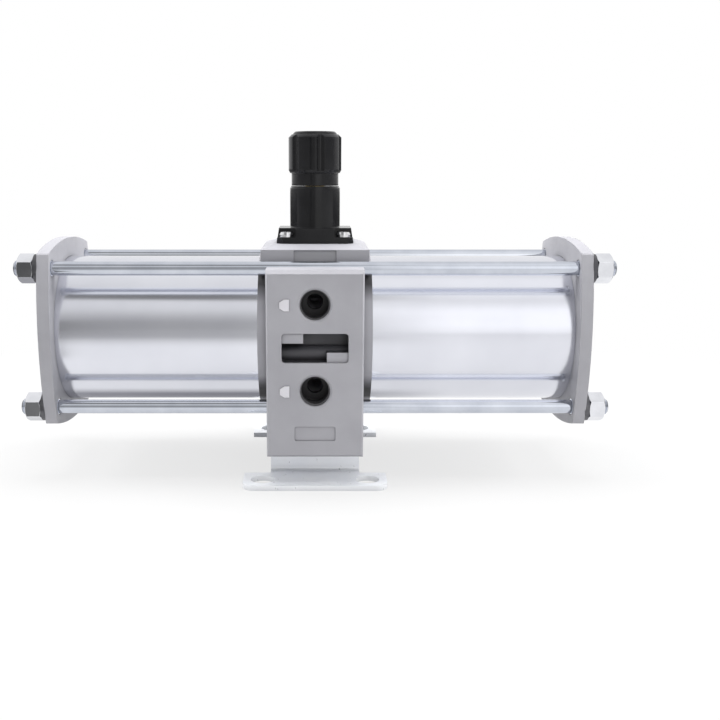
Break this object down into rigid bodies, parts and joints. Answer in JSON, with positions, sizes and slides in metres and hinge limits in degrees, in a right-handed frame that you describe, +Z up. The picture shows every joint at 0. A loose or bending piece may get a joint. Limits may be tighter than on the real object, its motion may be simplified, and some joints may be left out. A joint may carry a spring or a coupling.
{
  "type": "air pressure booster",
  "caption": "Tie-rod air pressure booster with twin tubes, a cast valve body with front ports, a knob-set regulator on top and a bent foot bracket.",
  "frame": {"origin": "middle of the feet on the floor, under the tube axis", "axes": "+X along the tubes, -Y the side with the two ports, +Z up through the knob"},
  "size_m": [0.3, 0.118, 0.1767],
  "materials": {
    "cast_grey": "satin grey coat on die cast aluminium",
    "tube_metal": "drawn tube, smooth and bright",
    "tie_steel": "bright plated steel",
    "nut_steel": "zinc plated",
    "washer_steel": "dark spring steel",
    "bracket_zinc": "bluish zinc plate",
    "black_plastic": "moulded, slightly satin",
    "bright_screw": "nickel plated",
    "inner_steel": "machined",
    "rod_steel": "hard chrome",
    "brass_part": "machined",
    "bronze_part": "sintered",
    "rubber_black": "moulded",
    "wear_plastic": "machined",
    "piston_metal": "machined"
  },
  "bodies": {
    "frame": {"body": "cast_grey", "left_tube": "tube_metal", "right_tube": "tube_metal", "left_cover": "cast_grey", "right_cover": "cast_grey", "tube_gaskets": "rubber_black", "tie_rods": "tie_steel", "tie_rod_nuts": "nut_steel", "spring_washers": "washer_steel", "mounting_bracket": "bracket_zinc", "bracket_screws": "nut_steel", "bonnet": "black_plastic", "bonnet_screws": "bright_screw", "diaphragm": "rubber_black", "governor_seat": "brass_part", "governor_spring": "inner_steel", "pressure_spring": "inner_steel", "bumpers": "rubber_black", "rod_bushing": "bronze_part", "rod_seals": "rubber_black", "seal_retainers": "inner_steel", "spool_sleeve": "inner_steel", "spool_plugs": "inner_steel", "check_seats": "inner_steel", "check_springs": "inner_steel"},
    "pistons": {"piston_rod": "rod_steel", "left_piston": "piston_metal", "right_piston": "piston_metal", "piston_nuts": "nut_steel", "piston_seals": "rubber_black", "wear_rings": "wear_plastic"},
    "screw": {"adjusting_screw": "brass_part"},
    "knob": {"knob": "black_plastic"},
    "seat": {"spring_seat": "inner_steel"},
    "governor": {"governor_valve": "brass_part", "diaphragm_plate": "inner_steel"},
    "spool": {"switching_spool": "inner_steel"},
    "left_inlet": {"left_inlet_valve": "brass_part"},
    "right_inlet": {"right_inlet_valve": "brass_part"},
    "left_outlet": {"left_outlet_valve": "brass_part"},
    "right_outlet": {"right_outlet_valve": "brass_part"}
  },
  "joints": [
    {"name": "piston_slide", "type": "slide", "parent": "frame", "child": "pistons", "axis": [1, 0, 0], "range_m": [-0.038, 0.038]},
    {"name": "knob_turn", "type": "hinge", "parent": "frame", "child": "screw", "pos_m": [0, 0, 0.16], "axis": [0, 0, 1], "range_deg": [-722, 722]},
    {"name": "knob_pull", "type": "slide", "parent": "screw", "child": "knob", "axis": [0, 0, 1], "range_m": [0, 0.003]},
    {"name": "seat_slide", "type": "slide", "parent": "frame", "child": "seat", "axis": [0, 0, 1], "range_m": [-0.002, 0.002], "deforming": ["pressure_spring"]},
    {"name": "governor_slide", "type": "slide", "parent": "frame", "child": "governor", "axis": [0, 0, -1], "range_m": [0, 0.0012], "stiffness_N_per_m": 400, "springref_m": -0.003, "deforming": ["governor_spring", "diaphragm", "pressure_spring"]},
    {"name": "spool_slide", "type": "slide", "parent": "frame", "child": "spool", "axis": [1, 0, 0], "range_m": [-0.002, 0.002]},
    {"name": "left_inlet_lift", "type": "slide", "parent": "frame", "child": "left_inlet", "axis": [-1, 0, 0], "range_m": [0, 0.002], "stiffness_N_per_m": 150, "springref_m": -0.004, "deforming": ["check_springs"]},
    {"name": "right_inlet_lift", "type": "slide", "parent": "frame", "child": "right_inlet", "axis": [1, 0, 0], "range_m": [0, 0.002], "stiffness_N_per_m": 150, "springref_m": -0.004, "deforming": ["check_springs"]},
    {"name": "left_outlet_lift", "type": "slide", "parent": "frame", "child": "left_outlet", "axis": [1, 0, 0], "range_m": [0, 0.002], "stiffness_N_per_m": 150, "springref_m": -0.004, "deforming": ["check_springs"]},
    {"name": "right_outlet_lift", "type": "slide", "parent": "frame", "child": "right_outlet", "axis": [-1, 0, 0], "range_m": [0, 0.002], "stiffness_N_per_m": 150, "springref_m": -0.004, "deforming": ["check_springs"]}
  ],
  "couplings": [
    {"joint": "knob_turn", "follows": "seat_slide", "rad_per_m": 6283.2}
  ]
}
